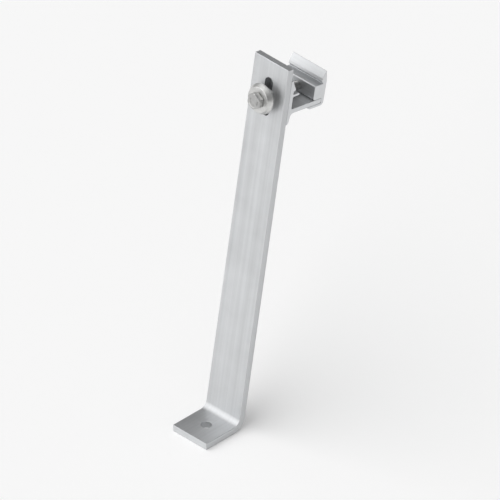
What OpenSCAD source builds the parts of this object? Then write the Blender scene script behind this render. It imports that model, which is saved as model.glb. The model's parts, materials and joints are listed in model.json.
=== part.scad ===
// Back leg of a tilted solar panel stand: a bent flat bar that is bolted down at its foot
// and carries a two-piece rail clamp on a slot near its top.
//
// X runs across the bar, +Z is up, and the upright leans towards +Y. The origin is the axis
// of the foot's hole at the foot's underside.

/* [Flat bar] */
// Width of the bar and of both clamp pieces
bar_width = 40; // [30:1:60]
// Thickness of the bar
bar_thickness = 6.4; // [4:0.1:10]
// Flat length of the foot, from its tip to the bend
foot_flat = 33.4; // [31:0.1:60]
// Straight length of the upright, from the bend to its top
upright_length = 336; // [150:1:600]
// Lean of the upright from the vertical, in degrees
lean_angle = 10; // [0:1:30]
// Inside radius of the bend
bend_radius = 6.6; // [3:0.1:15]
// Diameter of the foot's hole
foot_hole_diameter = 9.5; // [6:0.5:13]
// Distance from the foot's tip to the hole's axis
foot_hole_setback = 20; // [14:0.5:22]

/* [Slot] */
// Distance between the axes of the slot's two round ends
slot_travel = 27; // [10:0.5:40]
// Distance from the upright's top to the slot's middle
slot_drop = 33.8; // [28:0.1:80]
// Gap on each side of the bolt in the slot and in the bracket's hole
hole_clearance = 0.5; // [0.3:0.1:1]

/* [Bolt] */
// Diameter of the bolt over its thread
bolt_diameter = 8; // [6:0.5:9]
// Width of the hexagon head across its flats
head_across_flats = 13; // [12:0.5:16]
// Height of the head
head_height = 5.3; // [4:0.1:8]
// Angle of the chamfer on the head's corners, in degrees
head_chamfer_angle = 30; // [15:1:40]
// Diameter of the circle where the chamfer starts, as a share of the width across the flats
head_crown_share = 1.05; // [0.9:0.01:1.1]
// Length of the chamfer on the bolt's end
bolt_end_chamfer = 1; // [0.5:0.1:1.5]
// Distance from the bolt's end back to the jaw's outer face
bolt_end_inset = 2; // [0:0.1:3]
// Gap between the bolt and the jaw's threaded hole
thread_clearance = 0.05; // [0.02:0.01:0.1]

/* [Washers] */
// Gap between the bolt and each washer's bore
washer_clearance = 0.25; // [0.2:0.05:0.5]
// Diameter of the flat washer
flat_washer_diameter = 17.4; // [14:0.1:20]
// Thickness of the flat washer
flat_washer_thickness = 1.6; // [1:0.1:3]
// Diameter of the split spring washer
spring_washer_diameter = 14.8; // [13:0.1:16]
// Thickness of the spring washer's strip
spring_washer_thickness = 2; // [1.2:0.1:2.5]
// Height of the spring washer over its two ends
spring_washer_height = 4.7; // [3.5:0.1:6]
// Angle that the spring washer's split takes up, in degrees
spring_washer_split = 12; // [6:1:20]
// Diameter of the bevelled washer's rim
bevel_rim_diameter = 27.5; // [24:0.5:32]
// Diameter of the bevelled washer's front face
bevel_face_diameter = 23; // [19:0.5:24]
// Height of the bevelled washer's straight rim
bevel_rim_height = 1.5; // [1:0.1:3]
// Height of the bevelled washer's cone, from the rim to the front face
bevel_cone_height = 3.5; // [2:0.1:5]

/* [Clamp] */
// Width of the rail's foot between the closed clamp's lips
rail_width = 36.2; // [30:0.1:50]
// Height of the room for the rail's flange under each lip
flange_room = 3; // [2:0.1:5]
// Gap between the bolt and the bracket's ledge above it
ledge_clearance = 1.5; // [0.4:0.05:2]
// Thickness of the bracket's ledge that the rail sits on
ledge_thickness = 2.25; // [2:0.05:5]
// Gap between the bolt and the bracket's arm below it
arm_clearance = 2.35; // [2:0.05:5]
// Thickness of the bracket's arm
arm_thickness = 4.4; // [3:0.1:6]
// Gap on each side of the arm in the jaw's groove
groove_clearance = 0.15; // [0.1:0.05:0.3]
// Gap between the arm's tip and the groove's end with the clamp closed
arm_tip_clearance = 0.15; // [0.1:0.05:0.5]

/* [Clamp bracket] */
// Thickness of the bracket's plate
plate_thickness = 4.1; // [3:0.1:8]
// Reach of the lip's nose over the rail's flange
lip_overhang = 2.7; // [1.5:0.1:5]
// Rise of the lip's underside from its root to its nose
lip_undercut = 0.8; // [0:0.1:2]
// Height of the lip's tapered back above its nose
lip_height = 9.9; // [8:0.1:15]
// Width of the lip's blunt top
lip_top_thickness = 1.8; // [1:0.1:2.5]
// Reach of the ledge under the rail, past the plate
ledge_reach = 7.5; // [6:0.1:12]
// Length of the bracket's tail below the arm
tail_length = 10.2; // [8:0.1:16]
// Thickness of the tail's tip
tail_tip_thickness = 2.6; // [2:0.1:4]

/* [Clamp jaw] */
// Depth of the jaw's seat under the rail
jaw_seat_depth = 9.8; // [7:0.1:14]
// Thickness of the jaw's wall behind the rail's flange
jaw_wall = 4; // [3.5:0.1:8]
// Narrowing of the jaw's outer face from the seat down to the flange
jaw_draft = 0.9; // [0:0.1:1.5]
// Reach of the jaw's lip over the rail's flange
jaw_overhang = 2.2; // [1:0.1:3.5]
// Height of the blunt nose of the jaw's lip
jaw_nose_height = 2.1; // [1:0.1:4]
// Distance by which the nose leans back from its lower edge to its upper edge
jaw_nose_lean = 0.6; // [0:0.1:1.5]
// Height of the lip's taper above its nose
jaw_lip_height = 7.1; // [6:0.1:12]
// Distance from the jaw's top edge back to its outer face
jaw_top_setback = 1.5; // [1:0.1:2.5]
// Drop from the nose's upper edge to the widest point of the jaw's outer face
jaw_shoulder_drop = 3; // [1:0.1:5]
// Thickness of the jaw's flange under the arm
jaw_flange_thickness = 2.45; // [2:0.05:4]
// Reach of the flange under the arm, past the jaw's inner face
jaw_flange_reach = 6.6; // [3:0.1:10]
// Thickness of the flange's tip
jaw_flange_tip = 0.4; // [0.3:0.1:1.5]
// Length of the taper on the flange's tip
jaw_flange_taper = 3.7; // [2:0.1:6]

/* [Hidden] */
$fn = 96;

// Distance by which a cutting shape runs past the surface that it cuts
cut_margin = 1;
// Largest distance between a rounded corner's arc and the straight pieces that stand for it
arc_tolerance = 0.01;
// Straight pieces round the spring washer
spring_steps = 60;
// Sides of the bolt's head
head_sides = 6;

// Radii of the outlines' rounded corners
sharp_edge = 0.3;
soft_edge = 0.8;
inner_fillet = 1;
tail_fillet = 3.7;
tail_tip_bevel = 1.6;
jaw_seat_edge = 1.3;
jaw_shoulder_radius = 3;
jaw_inner_corner = 2.5;
jaw_outer_corner = 3.5;
// Radius on the tips of the ledge and the arm, and the largest share of a tip's thickness that it takes up
tip_radius = 1.4;
tip_share = 0.48;
ledge_nose_radius = min(tip_radius, ledge_thickness * tip_share);
arm_tip_radius = min(tip_radius, arm_thickness * tip_share);

// Centre of the bend, seen from the side
bend_y = foot_flat - foot_hole_setback;
bend_z = bar_thickness + bend_radius;

// Sizes that follow from the bolt
bolt_radius = bolt_diameter / 2;
slot_width = bolt_diameter + 2 * hole_clearance;
washer_bore_radius = bolt_radius + washer_clearance;

// Heights above the bar's front face at which the washers and the head start
spring_washer_start = flat_washer_thickness;
bevelled_washer_start = spring_washer_start + spring_washer_height;
head_start = bevelled_washer_start + bevel_rim_height + bevel_cone_height;

// Heights of the clamp's faces above the bolt's axis
ledge_bottom = bolt_radius + ledge_clearance;
seat_height = ledge_bottom + ledge_thickness;
lip_root_height = seat_height + flange_room;
lip_nose_height = lip_root_height + lip_undercut;
arm_top = -bolt_radius - arm_clearance;
arm_bottom = arm_top - arm_thickness;
groove_top = arm_top + groove_clearance;
groove_bottom = arm_bottom - groove_clearance;
jaw_bottom = groove_bottom - jaw_flange_thickness;
jaw_nose_bottom = seat_height + flange_room;
jaw_nose_top = jaw_nose_bottom + jaw_nose_height;

// Distances of the clamp's faces behind the bar's back face
jaw_root = plate_thickness + rail_width;
jaw_front = jaw_root - jaw_seat_depth;
jaw_back = jaw_root + jaw_wall;
arm_end = jaw_root - arm_tip_clearance;
flange_end = jaw_front - jaw_flange_reach;

// The bolt's end lies just inside the jaw's outer face
bolt_length = head_start + bar_thickness + jaw_back - bolt_end_inset;

// Direction from one point of an outline to another
function heading(from, to) = (to - from) / norm(to - from);

// Arc that rounds the corner between two neighbours: corners are [depth, height, radius]
function corner_arc(before, corner, after) =
    let (
        tip = [corner.x, corner.y],
        radius = corner.z,
        back = heading(tip, [before.x, before.y]),
        ahead = heading(tip, [after.x, after.y]),
        half_angle = acos(back * ahead) / 2,
        centre = tip + heading([0, 0], back + ahead) * radius / sin(half_angle),
        first = tip + back * radius / tan(half_angle) - centre,
        last = tip + ahead * radius / tan(half_angle) - centre,
        start = atan2(first.y, first.x),
        turn = atan2(first.x * last.y - first.y * last.x, first * last),
        steps = ceil(abs(turn) / (2 * acos(1 - arc_tolerance / radius)))
    )
    [for (step = [0 : steps]) let (angle = start + turn * step / steps) centre + radius * [cos(angle), sin(angle)]];

// Outline with every corner rounded by its own radius
function rounded(corners) =
    let (count = len(corners))
    [
        for (i = [0 : count - 1])
            each corners[i].z == 0
                ? [[corners[i].x, corners[i].y]]
                : corner_arc(corners[(i + count - 1) % count], corners[i], corners[(i + 1) % count])
    ];

// Places shapes on the upright: +Y points away from the bend's centre and +Z along the bar
module on_upright() {
    translate([0, bend_y, bend_z]) rotate([-lean_angle, 0, 0]) children();
}

// Places shapes on the bolt's axis at the bar's back face, with the bar's own directions
module behind_bar() {
    on_upright() translate([0, bend_radius + bar_thickness, upright_length - slot_drop]) children();
}

// Places shapes on the bolt's axis at the bar's front face, with +Z towards the bolt's head
module before_bar() {
    behind_bar() translate([0, -bar_thickness, 0]) rotate([90, 0, 0]) children();
}

// Extrudes an outline of [depth, height] points across the bar's width
module across_bar(outline) {
    translate([-bar_width / 2, 0, 0]) rotate([90, 0, 90]) linear_extrude(bar_width) polygon(outline);
}

// Round hole along the bolt's axis, from one depth behind the bar to another
module bolt_hole(radius, from, to) {
    translate([0, from, 0]) rotate([-90, 0, 0]) cylinder(h = to - from, r = radius);
}

// Side outline of the bent bar, in the upright's own directions
module bar_blank() {
    half_turn = (90 - lean_angle) / 2;
    outer_radius = bend_radius + bar_thickness;
    down = [sin(lean_angle), -cos(lean_angle)];
    forward = [-cos(lean_angle), -sin(lean_angle)];
    tip_top = bend_radius * down + foot_flat * forward;
    tip_bottom = outer_radius * down + foot_flat * forward;
    on_upright() across_bar(rounded([
        [bend_radius, upright_length, 0],
        [bend_radius, -bend_radius * tan(half_turn), bend_radius],
        [tip_top.x, tip_top.y, 0],
        [tip_bottom.x, tip_bottom.y, 0],
        [outer_radius, -outer_radius * tan(half_turn), outer_radius],
        [outer_radius, upright_length, 0]
    ]));
}

module slot() {
    cut_start = -bar_thickness - cut_margin;
    for (end = [-1, 1])
        translate([0, 0, end * slot_travel / 2]) bolt_hole(slot_width / 2, cut_start, cut_margin);
    translate([-slot_width / 2, cut_start, -slot_travel / 2])
        cube([slot_width, bar_thickness + 2 * cut_margin, slot_travel]);
}

module leg() {
    color("gainsboro") difference() {
        bar_blank();
        translate([0, 0, -cut_margin]) cylinder(h = bar_thickness + 2 * cut_margin, d = foot_hole_diameter);
        behind_bar() slot();
    }
}

module flat_washer() {
    color("lightsteelblue") before_bar() difference() {
        cylinder(h = flat_washer_thickness, d = flat_washer_diameter);
        translate([0, 0, -cut_margin]) cylinder(h = flat_washer_thickness + 2 * cut_margin, r = washer_bore_radius);
    }
}

// One split turn of a flat strip, wound left-handed so that its ends bite when the bolt loosens
module spring_washer() {
    rise = spring_washer_height - spring_washer_thickness;
    sweep = 360 - spring_washer_split;
    outer_radius = spring_washer_diameter / 2;
    section = [
        [washer_bore_radius, 0],
        [outer_radius, 0],
        [outer_radius, spring_washer_thickness],
        [washer_bore_radius, spring_washer_thickness]
    ];
    sides = len(section);
    points = [
        for (step = [0 : spring_steps], corner = section)
            let (angle = -90 - spring_washer_split / 2 - sweep * step / spring_steps)
            [corner.x * cos(angle), corner.x * sin(angle), corner.y + rise * step / spring_steps]
    ];
    strip = [
        for (step = [0 : spring_steps - 1], side = [0 : sides - 1])
            let (
                here = step * sides + side,
                next = step * sides + (side + 1) % sides
            )
            [here, next, next + sides, here + sides]
    ];
    start_cap = [for (side = [sides - 1 : -1 : 0]) side];
    end_cap = [for (side = [0 : sides - 1]) spring_steps * sides + side];
    color("silver") before_bar() translate([0, 0, spring_washer_start])
        polyhedron(points = points, faces = concat([start_cap, end_cap], strip));
}

module bevelled_washer() {
    rim_radius = bevel_rim_diameter / 2;
    face_height = bevel_rim_height + bevel_cone_height;
    color("lightsteelblue") before_bar() translate([0, 0, bevelled_washer_start]) rotate_extrude()
        polygon([
            [washer_bore_radius, 0],
            [rim_radius, 0],
            [rim_radius, bevel_rim_height],
            [bevel_face_diameter / 2, face_height],
            [washer_bore_radius, face_height]
        ]);
}

// Hexagon head with chamfered corners, standing on z = 0 with two corners along the bar
module hex_head() {
    half_side = 180 / head_sides;
    corner_radius = head_across_flats / 2 / cos(half_side);
    crown_radius = head_across_flats / 2 * head_crown_share;
    crown_drop = (corner_radius - crown_radius) * tan(head_chamfer_angle);
    intersection() {
        rotate(half_side) cylinder(h = head_height, r = corner_radius, $fn = head_sides);
        rotate_extrude() polygon([
            [0, 0],
            [corner_radius + cut_margin, 0],
            [corner_radius + cut_margin, head_height - crown_drop - cut_margin * tan(head_chamfer_angle)],
            [crown_radius, head_height],
            [0, head_height]
        ]);
    }
}

module bolt() {
    color("silver") before_bar() translate([0, 0, head_start]) {
        hex_head();
        rotate_extrude() polygon([
            [0, 0],
            [bolt_radius, 0],
            [bolt_radius, bolt_end_chamfer - bolt_length],
            [bolt_radius - bolt_end_chamfer, -bolt_length],
            [0, -bolt_length]
        ]);
    }
}

module clamp_bracket() {
    ledge_end = plate_thickness + ledge_reach;
    lip_top_height = lip_nose_height + lip_height;
    tail_tip = arm_bottom - tail_length;
    outline = rounded([
        [0, lip_top_height, sharp_edge],
        [lip_top_thickness, lip_top_height, sharp_edge],
        [plate_thickness + lip_overhang, lip_nose_height, sharp_edge],
        [plate_thickness, lip_root_height, sharp_edge],
        [plate_thickness, seat_height, sharp_edge],
        [ledge_end, seat_height, ledge_nose_radius],
        [ledge_end, ledge_bottom, ledge_nose_radius],
        [plate_thickness, ledge_bottom, inner_fillet],
        [plate_thickness, arm_top, inner_fillet],
        [arm_end, arm_top, sharp_edge],
        [arm_end, arm_bottom, arm_tip_radius],
        [plate_thickness, arm_bottom, tail_fillet],
        [tail_tip_thickness, tail_tip + tail_tip_bevel, soft_edge],
        [0, tail_tip, sharp_edge]
    ]);
    color("gainsboro") behind_bar() difference() {
        across_bar(outline);
        bolt_hole(bolt_radius + hole_clearance, -cut_margin, plate_thickness + cut_margin);
    }
}

module clamp_jaw() {
    shoulder_height = jaw_nose_top - jaw_shoulder_drop;
    jaw_top = jaw_nose_top + jaw_lip_height;
    outline = rounded([
        [jaw_front, seat_height, jaw_seat_edge],
        [jaw_root, seat_height, sharp_edge],
        [jaw_root - jaw_overhang, jaw_nose_bottom, sharp_edge],
        [jaw_root - jaw_overhang + jaw_nose_lean, jaw_nose_top, sharp_edge],
        [jaw_back - jaw_top_setback, jaw_top, sharp_edge],
        [jaw_back, shoulder_height, jaw_shoulder_radius],
        [jaw_back - jaw_draft, jaw_bottom, jaw_outer_corner],
        [flange_end + jaw_flange_taper, jaw_bottom, soft_edge],
        [flange_end, groove_bottom - jaw_flange_tip, 0],
        [flange_end, groove_bottom, 0],
        [jaw_root, groove_bottom, sharp_edge],
        [jaw_root, groove_top, sharp_edge],
        [jaw_front, groove_top, jaw_inner_corner]
    ]);
    color("gainsboro") behind_bar() difference() {
        across_bar(outline);
        bolt_hole(bolt_radius + thread_clearance, jaw_front - cut_margin, jaw_back + cut_margin);
    }
}

leg();
flat_washer();
spring_washer();
bevelled_washer();
bolt();
clamp_bracket();
clamp_jaw();
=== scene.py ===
"""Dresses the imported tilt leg: metal finishes, a threaded bolt, a split spring washer, studio and camera.

Lengths are in metres and the frame is the CAD model's: X runs across the bar, +Z is up, and the
upright leans towards +Y.
"""
import json
import math

import bmesh
import bpy
from mathutils import Matrix, Vector


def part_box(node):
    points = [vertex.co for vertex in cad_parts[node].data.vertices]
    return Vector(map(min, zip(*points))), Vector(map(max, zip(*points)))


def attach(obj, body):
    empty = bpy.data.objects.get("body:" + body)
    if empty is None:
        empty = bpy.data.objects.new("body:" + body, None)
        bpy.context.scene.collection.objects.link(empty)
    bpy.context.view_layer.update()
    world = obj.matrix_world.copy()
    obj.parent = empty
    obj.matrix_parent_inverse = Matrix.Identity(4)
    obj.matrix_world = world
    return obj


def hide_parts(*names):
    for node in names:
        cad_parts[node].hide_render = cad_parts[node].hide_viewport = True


MM = 0.001
DECIMALS = 5  # of a metre, which is 0.01 mm
ACROSS = Vector((1.0, 0.0, 0.0))
BACK = Vector((0.0, 1.0, 0.0))
UP = Vector((0.0, 0.0, 1.0))

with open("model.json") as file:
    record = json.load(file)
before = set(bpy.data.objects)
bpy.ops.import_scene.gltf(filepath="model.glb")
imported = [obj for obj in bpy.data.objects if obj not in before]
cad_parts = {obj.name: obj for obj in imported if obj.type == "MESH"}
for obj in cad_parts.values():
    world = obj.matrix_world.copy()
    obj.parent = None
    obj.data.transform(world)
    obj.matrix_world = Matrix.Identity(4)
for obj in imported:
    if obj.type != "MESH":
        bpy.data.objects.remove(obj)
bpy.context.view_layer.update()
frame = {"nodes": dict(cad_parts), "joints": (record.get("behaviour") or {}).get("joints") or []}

# Measures from the frame

joints = {joint["name"]: joint for joint in frame["joints"]}
BOLT_AXIS_POINT = Vector(joints["bolt_turn"]["pos_m"])  # on the bar's back face
TO_HEAD = Vector(joints["bolt_turn"]["axis"]).normalized()  # from the bar towards the bolt's head
UP_BAR = Vector(joints["height_slide"]["axis"]).normalized()
BEND_CENTRE = Vector((0.0, 13.4 * MM, 13.0 * MM))  # what the bar's bend turns round


def lowest_and_highest(values):
    """Both ends of some measures, rounded because the frame's meshes aren't exact to the last digit."""
    return round(min(values), DECIMALS), round(max(values), DECIMALS)


def along_axis(node):
    """Where a CAD node starts and ends along the bolt's axis, from the bar's back face towards the head."""
    vertices = frame["nodes"][node].data.vertices
    return lowest_and_highest([(vertex.co - BOLT_AXIS_POINT).dot(TO_HEAD) for vertex in vertices])


def off_axis(node):
    """The smallest and largest distance of a CAD node's vertices from the bolt's axis."""
    vertices = frame["nodes"][node].data.vertices
    return lowest_and_highest([(vertex.co - BOLT_AXIS_POINT).cross(TO_HEAD).length for vertex in vertices])


SPRING_LOW, SPRING_HIGH = along_axis("spring_washer")
SPRING_BORE, SPRING_OUTER = off_axis("spring_washer")
HEAD_BASE = along_axis("bevelled_washer")[1]
BOLT_TIP, HEAD_TOP = along_axis("bolt")
bolt_low, bolt_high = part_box("bolt")
HEAD_FLATS = round(bolt_high[0] - bolt_low[0], DECIMALS)

# The standard thread of an M8 bolt, its flats and flanks as shares of the pitch
THREAD_RADIUS = 4.0 * MM
THREAD_PITCH = 1.25 * MM
THREAD_DEPTH = 0.613 * THREAD_PITCH
ROOT_RADIUS = THREAD_RADIUS - THREAD_DEPTH
ROOT_FLAT = 0.25
CREST_FLAT = 0.125
FLANK = (1.0 - ROOT_FLAT - CREST_FLAT) / 2


def on_bolt_axis(height):
    """Frame on the bolt's axis: Z towards the head, Y up the bar, from a height above the bar's back face."""
    across = UP_BAR.cross(TO_HEAD)
    matrix = Matrix((across, UP_BAR, TO_HEAD)).transposed().to_4x4()
    matrix.translation = BOLT_AXIS_POINT + TO_HEAD * height
    return matrix


# Node helpers


class Nodes:
    """A node tree, with short calls that add its nodes and wire them."""

    def __init__(self, tree):
        self.tree = tree

    def add(self, kind, **settings):
        node = self.tree.nodes.new(kind)
        for key, value in settings.items():
            setattr(node, key, value)
        return node

    def put(self, socket, value):
        """Wires a socket to another one, or sets its value."""
        if isinstance(value, bpy.types.NodeSocket):
            self.tree.links.new(value, socket)
        else:
            socket.default_value = value

    def wired(self, node, inputs, output):
        """Puts a value at each of a node's named or numbered inputs and gives one of its outputs."""
        for place, value in inputs.items():
            self.put(node.inputs[place], value)
        return node.outputs[output]

    def math(self, operation, first, second=0.0):
        return self.wired(self.add("ShaderNodeMath", operation=operation), {0: first, 1: second}, 0)

    def plus(self, first, second):
        return self.math("ADD", first, second)

    def times(self, first, second):
        return self.math("MULTIPLY", first, second)

    def weighted(self, *terms, start=0.0):
        """A start plus each of some values times its weight."""
        total = start
        for value, weight in terms:
            total = self.plus(total, self.times(value, weight))
        return total

    def dot(self, vector, direction):
        node = self.add("ShaderNodeVectorMath", operation="DOT_PRODUCT")
        return self.wired(node, {0: vector, 1: direction}, "Value")

    def minus_point(self, vector, point):
        node = self.add("ShaderNodeVectorMath", operation="SUBTRACT")
        return self.wired(node, {0: vector, 1: point}, 0)

    def length(self, vector):
        return self.wired(self.add("ShaderNodeVectorMath", operation="LENGTH"), {0: vector}, "Value")

    def combine(self, x, y, z):
        return self.wired(self.add("ShaderNodeCombineXYZ"), {0: x, 1: y, 2: z}, 0)

    def noise(self, vector, scale=1.0, detail=2.0, roughness=0.5):
        inputs = {"Vector": vector, "Scale": scale, "Detail": detail, "Roughness": roughness}
        return self.wired(self.add("ShaderNodeTexNoise"), inputs, 0)

    def stretched_noise(self, point, scales, detail=2.0, roughness=0.5):
        """Noise with its own scale along each coordinate, so that it draws out into lines."""
        scaled = [self.times(value, scale) for value, scale in zip(point, scales)]
        return self.noise(self.combine(*scaled), detail=detail, roughness=roughness)

    def span(self, value, low, high, to_low=0.0, to_high=1.0):
        """Maps low to high onto another span and stops at its ends."""
        inputs = {0: value, 1: low, 2: high, 3: to_low, 4: to_high}
        return self.wired(self.add("ShaderNodeMapRange"), inputs, 0)

    def mix(self, share, first, second):
        return self.wired(self.add("ShaderNodeMix", data_type="FLOAT"), {0: share, 2: first, 3: second}, 0)

    def mix_colour(self, share, first, second):
        return self.wired(self.add("ShaderNodeMix", data_type="RGBA"), {0: share, 6: first, 7: second}, 2)

    def shown_ray(self):
        """1 for rays from the camera, off metal or through glass, which show the background, else 0."""
        ray = self.add("ShaderNodeLightPath")
        camera_or_metal = self.math("MAXIMUM", ray.outputs["Is Camera Ray"], ray.outputs["Is Glossy Ray"])
        return self.math("MAXIMUM", camera_or_metal, ray.outputs["Is Transmission Ray"])


class Surface(Nodes):
    """A material with one Principled shader."""

    def __init__(self, name):
        self.material = bpy.data.materials.new(name)
        self.material.use_nodes = True
        super().__init__(self.material.node_tree)
        self.shader = self.tree.nodes["Principled BSDF"]
        self.place = self.add("ShaderNodeTexCoord").outputs["Object"]

    def from_point(self, point):
        return self.minus_point(self.place, point)

    def bump(self, height, strength, distance, before=None):
        inputs = {"Height": height, "Strength": strength, "Distance": distance}
        if before is not None:
            inputs["Normal"] = before
        return self.wired(self.add("ShaderNodeBump"), inputs, 0)

    def facing(self, direction):
        """How squarely the true surface faces along a direction of its body or against it, from 0 to 1."""
        turn = self.add("ShaderNodeVectorTransform", vector_type="NORMAL")
        turn.convert_from = "WORLD"
        turn.convert_to = "OBJECT"
        self.put(turn.inputs[0], self.add("ShaderNodeNewGeometry").outputs["True Normal"])
        return self.math("ABSOLUTE", self.dot(turn.outputs[0], direction))

    def finish_metal(self, colour, roughness, normal):
        for name, value in (("Base Color", colour), ("Roughness", roughness), ("Normal", normal)):
            self.put(self.shader.inputs[name], value)
        self.shader.inputs["Metallic"].default_value = 1.0
        return self.material


# Metal finishes

ALUMINIUM = (0.63, 0.64, 0.65)
BOLT_STEEL = (0.46, 0.46, 0.455)
WASHER_STEEL = (0.62, 0.62, 0.61)

# Scales of the drawn-out noises of an extrusion: twice in its section, then along its run
FINE_LINES = (2600.0, 2600.0, 5.0)
BROAD_LINES = (420.0, 420.0, 2.2)
STREAKS = (150.0, 150.0, 1.1)
SCRATCHES = (3600.0, 3600.0, 90.0)
SCRATCH_SLANT = 0.35
SQUARE_TO_END = (0.991, 0.998)  # how squarely a face looks along the run where it is a sawn end

SAW_PITCH = 0.72 * MM
SAW_BOW = 14.0
SAW_WOBBLE = 0.0011
SAW_TEETH = 2600.0

GRAIN_DEPTH = 0.02 * MM
RELIEF_DEPTH = 0.05 * MM
TURNING_LINES = 5200.0


def shade(colour, factor):
    return tuple(min(1.0, channel * factor) for channel in colour) + (1.0,)


def saw_marks(mat, across, along):
    """Ridges that a saw leaves on a cut end: bowed lines across one direction, uneven in depth."""
    wobble = mat.noise(mat.combine(across, along, 0.0), scale=160.0, detail=1.0)
    travel = mat.weighted((mat.times(along, along), SAW_BOW), (wobble, SAW_WOBBLE), start=across)
    ridges = mat.math("SINE", mat.times(travel, 2 * math.pi / SAW_PITCH))
    uneven = mat.noise(mat.combine(mat.times(travel, SAW_TEETH), 0.0, 0.0), detail=3.0)
    return mat.weighted((ridges, 0.25), start=uneven)


def aluminium(name, section, end_directions, end_face):
    """Extruded aluminium: die lines along the run, a cloudy oxide, small scratches and sawn ends.

    section gives two coordinates in the extruded section and one along the run, and end_face
    gives two coordinates on a sawn end, which looks along one of end_directions.
    """
    mat = Surface(name)
    first, second, along = section(mat)
    fine = mat.stretched_noise((first, second, along), FINE_LINES, detail=3.0, roughness=0.65)
    broad = mat.stretched_noise((first, second, along), BROAD_LINES)
    streak = mat.stretched_noise((first, second, along), STREAKS, detail=4.0, roughness=0.7)
    slanted = mat.weighted((along, SCRATCH_SLANT), start=first)
    slant = mat.stretched_noise((slanted, second, along), SCRATCHES, detail=1.0)
    cloud = mat.noise(mat.place, scale=38.0, detail=5.0, roughness=0.6)
    grain = mat.noise(mat.place, scale=2400.0)

    lines = mat.weighted((fine, 0.55), (broad, 0.45))
    scratch = mat.span(slant, 0.72, 0.78)
    end = 0.0
    for direction in end_directions:
        end = mat.math("MAXIMUM", mat.span(mat.facing(direction), *SQUARE_TO_END), end)
    relief = mat.mix(end, lines, saw_marks(mat, *end_face(mat)))

    tone = mat.weighted((lines, 0.35), (cloud, 0.25), (streak, 0.40))
    base = mat.mix_colour(mat.span(tone, 0.36, 0.64), shade(ALUMINIUM, 0.84), shade(ALUMINIUM, 1.10))
    base = mat.mix_colour(mat.times(scratch, 0.4), base, shade(ALUMINIUM, 1.15))
    base = mat.mix_colour(mat.times(end, 0.6), base, shade(ALUMINIUM, 1.12))
    rough = mat.weighted((cloud, 0.18), (lines, 0.12), (scratch, -0.08), (end, -0.06), start=0.37)
    normal = mat.bump(grain, 0.10, GRAIN_DEPTH)
    normal = mat.bump(relief, mat.mix(end, 0.22, 0.38), RELIEF_DEPTH, normal)
    return mat.finish_metal(base, rough, normal)


def bar_section(mat):
    """Across the bent bar, through its thickness and roughly along it."""
    from_bend = mat.from_point(BEND_CENTRE)
    outward = mat.dot(from_bend, -TO_HEAD)
    height = mat.dot(from_bend, UP_BAR)
    beyond = mat.math("MAXIMUM", mat.dot(from_bend, BACK), 0.0)
    below = mat.dot(from_bend, -UP)
    radius = mat.length(mat.combine(beyond, below, 0.0))
    depth = mat.mix(mat.math("GREATER_THAN", height, 0.0), radius, outward)
    return mat.dot(mat.place, ACROSS), depth, mat.dot(mat.place, UP + 0.5 * BACK)


def bar_end(mat):
    """Across the bar and through its thickness, for both its cut ends."""
    return mat.dot(mat.place, ACROSS), mat.dot(mat.place, BACK + UP)


def clamp_section(mat):
    """Off the bar, up it and along the clamp's extrusion."""
    from_axis = mat.from_point(BOLT_AXIS_POINT)
    return mat.dot(from_axis, TO_HEAD), mat.dot(from_axis, UP_BAR), mat.dot(mat.place, ACROSS)


def clamp_end(mat):
    """Up the bar and off it, for the clamp's cut ends."""
    off_bar, up_bar, _ = clamp_section(mat)
    return up_bar, off_bar


def steel(name, colour, roughness, turned, thread=None):
    """Plain stainless steel: turned rings round the bolt's axis, tumbling marks and a faint stain.

    turned is the share of rings in the relief. thread gives the root and crest radius of a thread
    whose roots are darkened with painted shade and dark oil, and where that ends.
    """
    mat = Surface(name)
    from_axis = mat.from_point(BOLT_AXIS_POINT)
    depth = mat.dot(from_axis, TO_HEAD)
    radius = mat.length(mat.combine(mat.dot(from_axis, ACROSS), mat.dot(from_axis, UP_BAR), 0.0))
    around = mat.combine(mat.times(radius, TURNING_LINES), mat.times(depth, TURNING_LINES), 0.0)
    rings = mat.noise(around, detail=3.0, roughness=0.6)
    dents = mat.noise(mat.place, scale=750.0, detail=3.0, roughness=0.55)
    stain = mat.noise(mat.place, scale=120.0, detail=4.0, roughness=0.6)

    base = mat.mix_colour(mat.span(stain, 0.35, 0.65), shade(colour, 0.86), shade(colour, 1.12))
    if thread:
        root, crest, top = thread
        # Painted shade and dark oil: the thread's roots below the head are darkened towards a deep grey
        root_shade_and_oil = mat.times(mat.span(radius, root, crest, 1.0, 0.0), mat.math("LESS_THAN", depth, top))
        base = mat.mix_colour(mat.times(root_shade_and_oil, 0.75), base, shade(colour, 0.28))
    rough = mat.weighted((stain, 0.12), (rings, 0.08 * turned), start=roughness)
    relief = mat.weighted((rings, turned), (dents, 1.0 - turned))
    return mat.finish_metal(base, rough, mat.bump(relief, 0.30, RELIEF_DEPTH))


bar_finish = aluminium("bar_aluminium_finish", bar_section, [UP_BAR, BACK], bar_end)
clamp_finish = aluminium("clamp_aluminium_finish", clamp_section, [ACROSS], clamp_end)
thread_zone = (ROOT_RADIUS, THREAD_RADIUS, HEAD_BASE - 0.1 * MM)
bolt_finish = steel("bolt_steel_finish", BOLT_STEEL, 0.24, 0.35, thread_zone)
washer_finish = steel("washer_steel_finish", WASHER_STEEL, 0.28, 0.7)


# Mesh helpers


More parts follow.
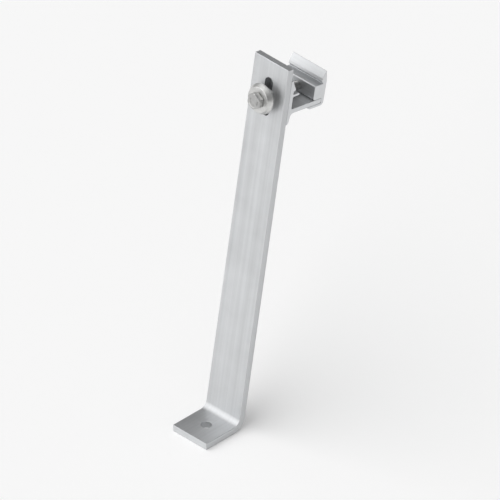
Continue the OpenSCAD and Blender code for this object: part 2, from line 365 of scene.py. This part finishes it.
def smooth_group(angle):
    """Geometry nodes that shade smooth across every edge flatter than an angle."""
    group = bpy.data.node_groups.new("smooth_by_angle", "GeometryNodeTree")
    group.interface.new_socket("Geometry", in_out="INPUT", socket_type="NodeSocketGeometry")
    group.interface.new_socket("Geometry", in_out="OUTPUT", socket_type="NodeSocketGeometry")
    nodes = Nodes(group)
    start = nodes.add("NodeGroupInput")
    end = nodes.add("NodeGroupOutput")
    bend = nodes.add("GeometryNodeInputMeshEdgeAngle")
    sharp = nodes.add("FunctionNodeCompare", operation="GREATER_THAN")
    faces = nodes.add("GeometryNodeSetShadeSmooth")
    edges = nodes.add("GeometryNodeSetShadeSmooth", domain="EDGE")
    is_sharp = nodes.wired(sharp, {"A": bend.outputs["Unsigned Angle"], "B": angle}, 0)
    smoothed = nodes.wired(faces, {"Geometry": start.outputs[0]}, 0)
    inputs = {"Geometry": smoothed, "Selection": is_sharp, "Shade Smooth": False}
    nodes.put(end.inputs[0], nodes.wired(edges, inputs, 0))
    return group


SMOOTH = smooth_group(math.radians(28))


def bevel_edges(obj, width, segments, angle):
    bevel = obj.modifiers.new("edges", "BEVEL")
    bevel.width = width
    bevel.segments = segments
    bevel.limit_method = "ANGLE"
    bevel.angle_limit = math.radians(angle)
    return bevel


def shade_smooth(obj):
    obj.modifiers.new("shading", "NODES").node_group = SMOOTH


def soften(node, width, segments=3, angle=34.0):
    """Rounds the sharp edges of a CAD node and shades the rest smooth."""
    obj = frame["nodes"][node]
    weld = obj.modifiers.new("weld", "WELD")
    weld.merge_threshold = 0.002 * MM
    flats = obj.modifiers.new("flats", "DECIMATE")
    flats.decimate_type = "DISSOLVE"
    flats.angle_limit = math.radians(0.6)
    bevel = bevel_edges(obj, width, segments, angle)
    bevel.miter_outer = "MITER_ARC"
    bevel.use_clamp_overlap = False
    shade_smooth(obj)
    weighted = obj.modifiers.new("normals", "WEIGHTED_NORMAL")
    weighted.keep_sharp = True
    weighted.weight = 100


def use(obj, material):
    if obj.data.materials:
        obj.material_slots[0].material = material
    else:
        obj.data.materials.append(material)


def make(name, shape, material, body, node):
    """Turns a bmesh into a piece that rides on a body and stands for a CAD node."""
    bmesh.ops.recalc_face_normals(shape, faces=shape.faces)
    mesh = bpy.data.meshes.new(name)
    shape.to_mesh(mesh)
    shape.free()
    obj = bpy.data.objects.new(name, mesh)
    bpy.context.scene.collection.objects.link(obj)
    use(obj, material)
    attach(obj, body)
    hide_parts(node)
    return obj


def vertex_round(shape, radius, angle, z):
    """A new vertex at a distance and an angle round the Z axis."""
    return shape.verts.new((radius * math.cos(angle), radius * math.sin(angle), z))


def bridge(shape, rings, closed=True):
    """Faces between each ring of vertices and the next one, all round or from end to end."""
    for low, high in zip(rings, rings[1:]):
        count = len(low)
        for step in range(count if closed else count - 1):
            after = (step + 1) % count
            shape.faces.new((low[step], low[after], high[after], high[step]))


def cap(shape, rings):
    """A face over the first ring of vertices and one over the last."""
    shape.faces.new(list(reversed(rings[0])))
    shape.faces.new(rings[-1])


# CAD nodes that stay

soften("leg", 0.45 * MM)
soften("clamp_bracket", 0.22 * MM)
soften("clamp_jaw", 0.22 * MM)
soften("flat_washer", 0.2 * MM, segments=2)
soften("bevelled_washer", 0.25 * MM, angle=20.0)

use(frame["nodes"]["leg"], bar_finish)
for clamp_node in ("clamp_bracket", "clamp_jaw"):
    use(frame["nodes"][clamp_node], clamp_finish)
for washer_node in ("flat_washer", "bevelled_washer"):
    use(frame["nodes"][washer_node], washer_finish)


# Bolt, with z = 0 at the underside of its head

HEAD_HEIGHT = HEAD_TOP - HEAD_BASE
BOLT_LENGTH = HEAD_BASE - BOLT_TIP
END_CHAMFER = 1.0 * MM
ROD_IN_HEAD = 0.4 * MM  # how far the rod runs up into the head
ROD_STEPS = 48
WELD_DISTANCE = 0.0015 * MM
MOST_HOLE_SIDES = 400  # more than either open end of the rod has

HEAD_SIDES = 6
STEPS_PER_SIDE = 20
HEAD_CHAMFER = math.radians(30)
CROWN_RADIUS = 1.05 * HEAD_FLATS / 2  # where the chamfer meets the head's face
DISH_DEPTH = 0.30 * MM

DASH_LENGTH = 0.85 * MM
DASH_WIDTH = 1.25 * MM
DASH_TAPER = 0.07 * MM
DASH_ROOT = 0.45 * MM  # how far a dash starts below the head's face
DASH_STEP = 18.0
DASH_GROUPS = ((4.1 * MM, 152.0, 5), (4.0 * MM, -26.0, 3))  # radius, first turn in degrees, and count


def threaded_rod(shape):
    """Right-hand thread below z = 0: a helical net whose rows are the thread's root and crest edges."""
    rows = (
        (0.0, ROOT_RADIUS),
        (ROOT_FLAT, ROOT_RADIUS),
        (ROOT_FLAT + FLANK, THREAD_RADIUS),
        (1.0 - FLANK, THREAD_RADIUS),
    )
    end_radius = THREAD_RADIUS - END_CHAMFER
    net = []
    for turn in range(-1, int(BOLT_LENGTH / THREAD_PITCH) + 2):
        for share, row_radius in rows:
            ring = []
            for step in range(ROD_STEPS + 1):
                angle = 2 * math.pi * step / ROD_STEPS
                z = -BOLT_LENGTH + (turn + share + step / ROD_STEPS) * THREAD_PITCH
                z = min(ROD_IN_HEAD, max(-BOLT_LENGTH, z))
                radius = min(row_radius, end_radius + (z + BOLT_LENGTH), end_radius + (ROD_IN_HEAD - z) * 2)
                ring.append(vertex_round(shape, radius, angle, z))
            net.append(ring)
    bridge(shape, net, closed=False)
    bmesh.ops.remove_doubles(shape, verts=shape.verts, dist=WELD_DISTANCE)
    open_edges = [edge for edge in shape.edges if edge.is_boundary]
    bmesh.ops.holes_fill(shape, edges=open_edges, sides=MOST_HOLE_SIDES)


def hex_head(shape):
    """Forged hexagon head: chamfered corners, a shallow dish in its face and a washer face under it."""
    flat = HEAD_FLATS / 2
    side_turn = 360.0 / HEAD_SIDES
    count = HEAD_SIDES * STEPS_PER_SIDE
    rings = [[] for _ in range(8)]
    for step in range(count):
        turn = 360.0 * step / count
        from_flat = math.radians((turn - side_turn / 2) % side_turn - side_turn / 2)
        side = flat / math.cos(from_flat)
        drop = max(0.0, side - CROWN_RADIUS) * math.tan(HEAD_CHAMFER)
        face_edge = CROWN_RADIUS - 0.02 * MM if side > CROWN_RADIUS else side - 0.03 * MM
        # out under the head's washer face, up its side, over the chamfer and down into the dish
        profile = (
            (flat * 0.94, 0.0),
            (flat * 0.94, 0.28 * MM),
            (side, 0.34 * MM),
            (side, HEAD_HEIGHT - drop),
            (face_edge, HEAD_HEIGHT),
            (flat * 0.90, HEAD_HEIGHT),
            (flat * 0.80, HEAD_HEIGHT - DISH_DEPTH),
            (flat * 0.30, HEAD_HEIGHT - DISH_DEPTH),
        )
        angle = math.radians(turn)
        for ring, (radius, z) in zip(rings, profile):
            ring.append(vertex_round(shape, radius, angle, z))
    bridge(shape, rings)
    cap(shape, rings)


def face_dash(shape, middle_radius, middle_angle):
    """One plain raised dash on the head's face, along a circle round its middle."""
    rings = []
    for z, shrink in ((HEAD_HEIGHT - DASH_ROOT, 0.0), (HEAD_HEIGHT, DASH_TAPER)):
        half_width = DASH_WIDTH / 2 - shrink
        half_turn = (DASH_LENGTH / 2 - shrink) / middle_radius
        ring = []
        for outward, onward in ((-1, -1), (-1, 1), (1, 1), (1, -1)):
            radius = middle_radius + outward * half_width
            angle = middle_angle + onward * half_turn
            ring.append(vertex_round(shape, radius, angle, z))
        rings.append(ring)
    bridge(shape, rings)
    cap(shape, rings)


def bolt_shape():
    shape = bmesh.new()
    threaded_rod(shape)
    hex_head(shape)
    for radius, first_turn, count in DASH_GROUPS:
        for place in range(count):
            face_dash(shape, radius, math.radians(first_turn + DASH_STEP * place))
    bmesh.ops.transform(shape, matrix=on_bolt_axis(HEAD_BASE), verts=shape.verts)
    return shape


bolt = make("threaded_bolt", bolt_shape(), bolt_finish, "bolt", "bolt")
bevel_edges(bolt, 0.09 * MM, segments=2, angle=24.0)
shade_smooth(bolt)


# Spring washer

STRIP_HEIGHT = 2.0 * MM
STRIP_EDGE = 0.28 * MM  # the radius of the strip's four edges
EDGE_STEPS = 4
SPLIT_ANGLE = 12.0
SPRING_STEPS = 150


def strip_section():
    """The flat strip's outline with rounded edges, as radius and height, from the bore outwards."""
    inner, outer = SPRING_BORE + STRIP_EDGE, SPRING_OUTER - STRIP_EDGE
    low, high = STRIP_EDGE, STRIP_HEIGHT - STRIP_EDGE
    section = []
    for radius, height, start in ((inner, low, 180), (outer, low, 270), (outer, high, 0), (inner, high, 90)):
        for step in range(EDGE_STEPS + 1):
            turn = math.radians(start + 90 * step / EDGE_STEPS)
            section.append((radius + STRIP_EDGE * math.cos(turn), height + STRIP_EDGE * math.sin(turn)))
    return section


def spring_shape():
    """One left-hand turn of the strip, its ends cut square."""
    shape = bmesh.new()
    section = strip_section()
    full_rise = SPRING_HIGH - SPRING_LOW - STRIP_HEIGHT
    rings = []
    for step in range(SPRING_STEPS + 1):
        share = step / SPRING_STEPS
        angle = math.radians(-90 - SPLIT_ANGLE / 2 - (360 - SPLIT_ANGLE) * share)
        rise = full_rise * share
        rings.append([vertex_round(shape, radius, angle, height + rise) for radius, height in section])
    bridge(shape, rings)
    cap(shape, rings)
    bmesh.ops.transform(shape, matrix=on_bolt_axis(SPRING_LOW), verts=shape.verts)
    return shape


spring = make(
    "split_spring_washer", spring_shape(), washer_finish, "washers", "spring_washer"
)
shade_smooth(spring)


# Studio

FLOOR_REACH = 6.0
FLOOR_DROP = 0.05 * MM
FLOOR_TONES = ((0.955, 0.955, 0.955, 1.0), (0.965, 0.965, 0.965, 1.0))
FLOOR_LIFT = 0.06

KEY_WAY = Vector((0.34, 0.66, -0.67)).normalized()  # the way that the key light shines
KEY_ENERGY = 1.9
KEY_ANGLE = math.radians(84)
SOFT_STRENGTH = 0.50
WHITE = (1.0, 1.0, 1.0, 1.0)
ROOM_DARK = (0.06, 0.06, 0.065, 1.0)
ROOM_LIGHT = (0.45, 0.45, 0.45, 1.0)
ROOM_SPAN = (-0.7, 1.0)  # how far a direction agrees with the way to the key, from the dark to the light
LIGHT_FROM = 0.9  # the share of that span at which the room is fully light
SWEEP_WHITE = (0.93, 0.93, 0.93, 1.0)
SWEEP_FADE = (0.02, 0.10)  # how steeply up a direction looks where the sweep turns into the room


def add_floor():
    """A plain pale floor, a little lighter to the camera and in metal than the light makes it."""
    mesh = bpy.data.meshes.new("floor")
    corners = [(FLOOR_REACH * x, FLOOR_REACH * y, 0.0) for x, y in ((-1, -1), (1, -1), (1, 1), (-1, 1))]
    mesh.from_pydata(corners, [], [(0, 1, 2, 3)])
    floor = bpy.data.objects.new("floor", mesh)
    floor.location.z = -FLOOR_DROP
    bpy.context.scene.collection.objects.link(floor)

    mat = Surface("floor_finish")
    mottle = mat.noise(mat.place, scale=3.0, detail=3.0)
    mat.put(mat.shader.inputs["Base Color"], mat.mix_colour(mottle, *FLOOR_TONES))
    mat.put(mat.shader.inputs["Roughness"], 0.9)
    mat.put(mat.shader.inputs["Specular IOR Level"], 0.0)
    strength = mat.times(mat.shown_ray(), FLOOR_LIFT)
    lift = mat.wired(mat.add("ShaderNodeEmission"), {"Strength": strength}, 0)
    both = mat.wired(mat.add("ShaderNodeAddShader"), {0: mat.shader.outputs[0], 1: lift}, 0)
    mat.put(mat.tree.nodes["Material Output"].inputs["Surface"], both)
    use(floor, mat.material)


def add_world():
    """Even soft light, and what the camera and metal see: a dim room with a white sweep at its foot."""
    world = bpy.data.worlds.new("studio")
    bpy.context.scene.world = world
    world.use_nodes = True
    nodes = Nodes(world.node_tree)
    nodes.tree.nodes.clear()
    way = nodes.add("ShaderNodeTexCoord").outputs["Generated"]
    ramp = nodes.add("ShaderNodeValToRGB")
    dark, light = ramp.color_ramp.elements
    dark.color = ROOM_DARK
    light.color = ROOM_LIGHT
    light.position = LIGHT_FROM
    nodes.put(ramp.inputs[0], nodes.span(nodes.dot(way, -KEY_WAY), *ROOM_SPAN))
    above_sweep = nodes.span(nodes.dot(way, UP), *SWEEP_FADE)
    room = nodes.mix_colour(above_sweep, SWEEP_WHITE, ramp.outputs[0])
    seen = nodes.wired(nodes.add("ShaderNodeBackground"), {"Color": room}, 0)
    soft = nodes.add("ShaderNodeBackground")
    even = nodes.wired(soft, {"Color": WHITE, "Strength": SOFT_STRENGTH}, 0)
    choose = nodes.add("ShaderNodeMixShader")
    surface = nodes.wired(choose, {0: nodes.shown_ray(), 1: even, 2: seen}, 0)
    nodes.put(nodes.add("ShaderNodeOutputWorld").inputs[0], surface)


def add_looking(obj, way):
    """Turns a lamp or a camera to look along a direction and adds it to the scene."""
    obj.rotation_mode = "QUATERNION"
    obj.rotation_quaternion = way.to_track_quat("-Z", "Y")
    bpy.context.scene.collection.objects.link(obj)


def add_key():
    lamp = bpy.data.lights.new("key", "SUN")
    lamp.energy = KEY_ENERGY
    lamp.angle = KEY_ANGLE
    add_looking(bpy.data.objects.new("key", lamp), KEY_WAY)


add_floor()
add_world()
add_key()


# Camera, at the drawing's isometric view

VIEW_WAY = Vector((-1.0, 1.0, -1.0)).normalized()
PICTURE_WIDTH = 0.4219
PICTURE_MIDDLE = Vector((-36.25, 88.39, 124.64)) * MM
CAMERA_DISTANCE = 1.5

camera_data = bpy.data.cameras.new("camera")
camera_data.type = "ORTHO"
camera_data.ortho_scale = PICTURE_WIDTH
camera_data.clip_end = 10.0
camera = bpy.data.objects.new("camera", camera_data)
camera.location = PICTURE_MIDDLE - VIEW_WAY * CAMERA_DISTANCE
add_looking(camera, VIEW_WAY)
bpy.context.scene.camera = camera
bpy.context.scene.view_settings.view_transform = "Standard"
